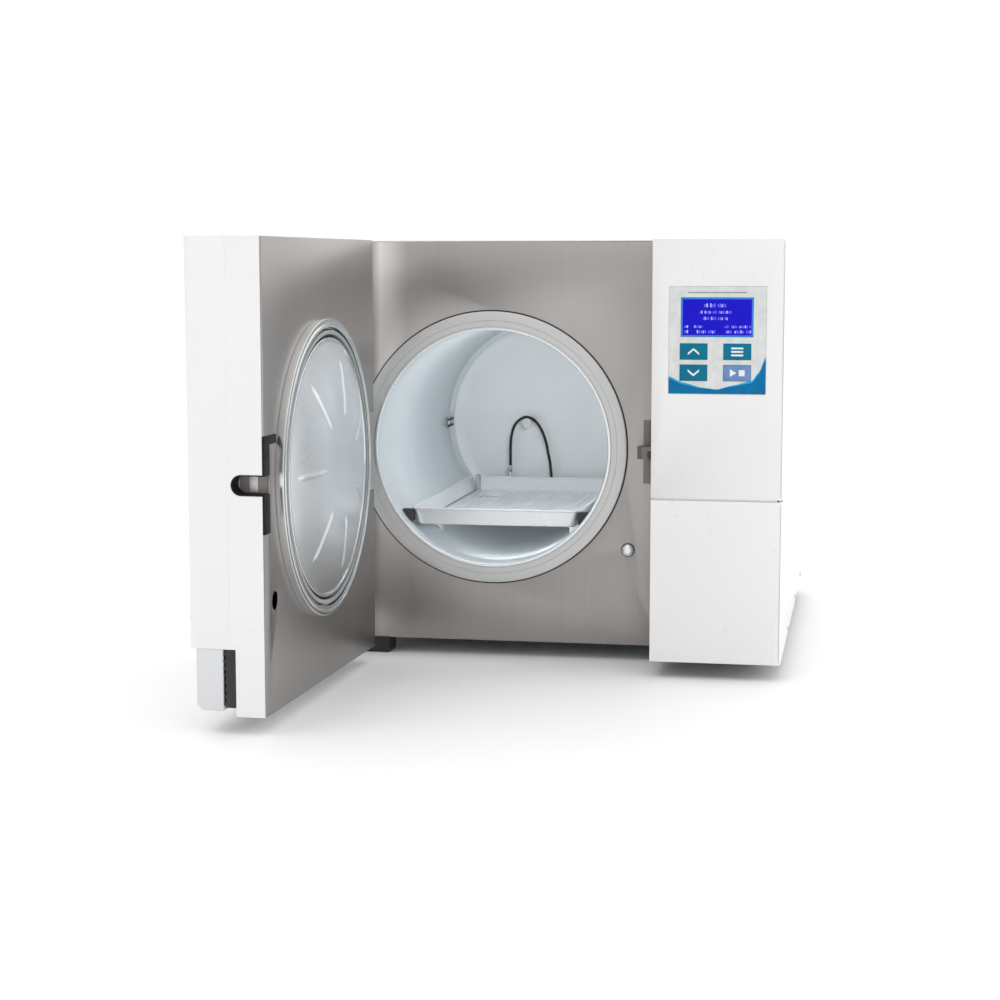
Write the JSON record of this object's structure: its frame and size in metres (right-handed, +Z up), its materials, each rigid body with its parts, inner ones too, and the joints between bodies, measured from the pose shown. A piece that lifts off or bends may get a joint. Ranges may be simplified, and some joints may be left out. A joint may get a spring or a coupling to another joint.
{
  "type": "benchtop autoclave",
  "caption": "Benchtop steam steriliser with a side-hinged door standing open, a round stainless chamber with a sliding perforated tray, a display column and a probe lead.",
  "frame": {"origin": "middle of the four feet, on the bench", "axes": "+X to the right of someone facing the front, +Y to the rear, +Z up"},
  "size_m": [0.4727, 0.8712, 0.4122],
  "materials": {
    "white_enamel": "satin",
    "brushed_panel": "brushed",
    "polished_stainless": "polished",
    "plain_steel": "satin",
    "black_rubber": "matte",
    "black_plastic": "matte",
    "grey_plastic": "matte",
    "overlay_film": "satin",
    "display": "gloss",
    "teal_key": "satin",
    "pale_blue_key": "satin",
    "circuit_board": "satin",
    "brass": "satin",
    "copper": "satin",
    "insulation": "matte",
    "tank_plastic": "satin",
    "blue_plastic": "satin",
    "red_plastic": "gloss"
  },
  "bodies": {
    "cabinet": {"base_pan": "plain_steel", "feet": "black_rubber", "front_steel_panel": "brushed_panel", "cabinet_cover": "white_enamel", "rear_panel": "white_enamel", "column_bezel": "white_enamel", "column_side_wall": "white_enamel", "control_overlay": "overlay_film", "lcd_module": "display", "control_board": "circuit_board", "chamber_vessel": "polished_stainless", "chamber_flange_ring": "polished_stainless", "insulation_jacket": "insulation", "band_heaters": "plain_steel", "chamber_saddles": "plain_steel", "tray_rack": "polished_stainless", "probe_gland": "brass", "probe_hook": "polished_stainless", "probe_lead": "black_rubber", "probe_tip": "polished_stainless", "water_reservoir": "tank_plastic", "water_pump": "black_plastic", "solenoid_valves": "brass", "condenser": "copper", "fan_frame": "black_plastic", "safety_valve_body": "brass", "power_supply": "plain_steel", "mains_inlet": "black_plastic", "power_switch_body": "black_plastic", "service_panel": "plain_steel", "drain_valve_bodies": "brass", "service_hinge_rod": "plain_steel", "lock_solenoid": "black_plastic", "latch_catch": "plain_steel", "hinge_bracket": "black_plastic", "hinge_pin": "plain_steel", "rear_spigots": "plain_steel"},
    "door": {"door_outer_cover": "white_enamel", "door_frame": "white_enamel", "door_inner_plate": "brushed_panel", "door_grip": "grey_plastic", "grip_insert": "black_plastic", "pressure_disc": "polished_stainless", "door_gasket": "black_rubber", "latch_frame": "black_plastic"},
    "tray": {"tray": "polished_stainless", "tray_bumpers": "black_rubber"},
    "reservoir_cap": {"reservoir_cap": "blue_plastic"},
    "fan_rotor": {"fan_rotor": "black_plastic"},
    "safety_valve_ring": {"safety_valve_ring": "plain_steel"},
    "power_rocker": {"power_rocker": "red_plastic"},
    "drain_knob_left": {"drain_knob_left": "blue_plastic"},
    "drain_knob_right": {"drain_knob_right": "blue_plastic"},
    "service_door": {"service_door": "white_enamel"},
    "lock_pin": {"lock_pin": "plain_steel"},
    "key_up": {"key_up": "teal_key"},
    "key_down": {"key_down": "teal_key"},
    "key_menu": {"key_menu": "teal_key"},
    "key_start": {"key_start": "pale_blue_key"},
    "latch_bolt": {"latch_bolt": "plain_steel"}
  },
  "joints": [
    {"name": "door_hinge", "type": "hinge", "parent": "cabinet", "child": "door", "pos_m": [-0.215, -0.283, 0.207], "axis": [0, 0, 1], "range_deg": [-15, 92]},
    {"name": "latch_bolt_slide", "type": "slide", "parent": "door", "child": "latch_bolt", "axis": [0, 0, -1], "range_m": [0, 0.012]},
    {"name": "lock_pin_slide", "type": "slide", "parent": "cabinet", "child": "lock_pin", "axis": [0, -1, 0], "range_m": [0, 0.012]},
    {"name": "tray_slide", "type": "slide", "parent": "cabinet", "child": "tray", "axis": [0, 1, 0], "range_m": [-0.16, 0]},
    {"name": "reservoir_cap_turn", "type": "hinge", "parent": "cabinet", "child": "reservoir_cap", "pos_m": [-0.12, 0.06, 0.409], "axis": [0, 0, 1], "range_deg": [0, 60]},
    {"name": "fan_spin", "type": "hinge", "parent": "cabinet", "child": "fan_rotor", "pos_m": [0.15, 0.22, 0.3], "axis": [0, 1, 0], "continuous": true},
    {"name": "safety_valve_pull", "type": "slide", "parent": "cabinet", "child": "safety_valve_ring", "axis": [0, 1, 0], "range_m": [0, 0.004], "stiffness_N_per_m": 800},
    {"name": "power_rocker_tilt", "type": "hinge", "parent": "cabinet", "child": "power_rocker", "pos_m": [0.14, 0.23, 0.06], "axis": [1, 0, 0], "range_deg": [0, 16]},
    {"name": "drain_knob_left_turn", "type": "hinge", "parent": "cabinet", "child": "drain_knob_left", "pos_m": [0.14, -0.283, 0.095], "axis": [0, 1, 0], "range_deg": [0, 90]},
    {"name": "drain_knob_right_turn", "type": "hinge", "parent": "cabinet", "child": "drain_knob_right", "pos_m": [0.192, -0.283, 0.095], "axis": [0, 1, 0], "range_deg": [0, 90]},
    {"name": "service_door_hinge", "type": "hinge", "parent": "cabinet", "child": "service_door", "pos_m": [0.166, -0.293, 0.021], "axis": [1, 0, 0], "range_deg": [0, 85]},
    {"name": "key_up_press", "type": "slide", "parent": "cabinet", "child": "key_up", "axis": [0, 1, 0], "range_m": [0, 0.0008], "stiffness_N_per_m": 600},
    {"name": "key_down_press", "type": "slide", "parent": "cabinet", "child": "key_down", "axis": [0, 1, 0], "range_m": [0, 0.0008], "stiffness_N_per_m": 600},
    {"name": "key_menu_press", "type": "slide", "parent": "cabinet", "child": "key_menu", "axis": [0, 1, 0], "range_m": [0, 0.0008], "stiffness_N_per_m": 600},
    {"name": "key_start_press", "type": "slide", "parent": "cabinet", "child": "key_start", "axis": [0, 1, 0], "range_m": [0, 0.0008], "stiffness_N_per_m": 600}
  ]
}
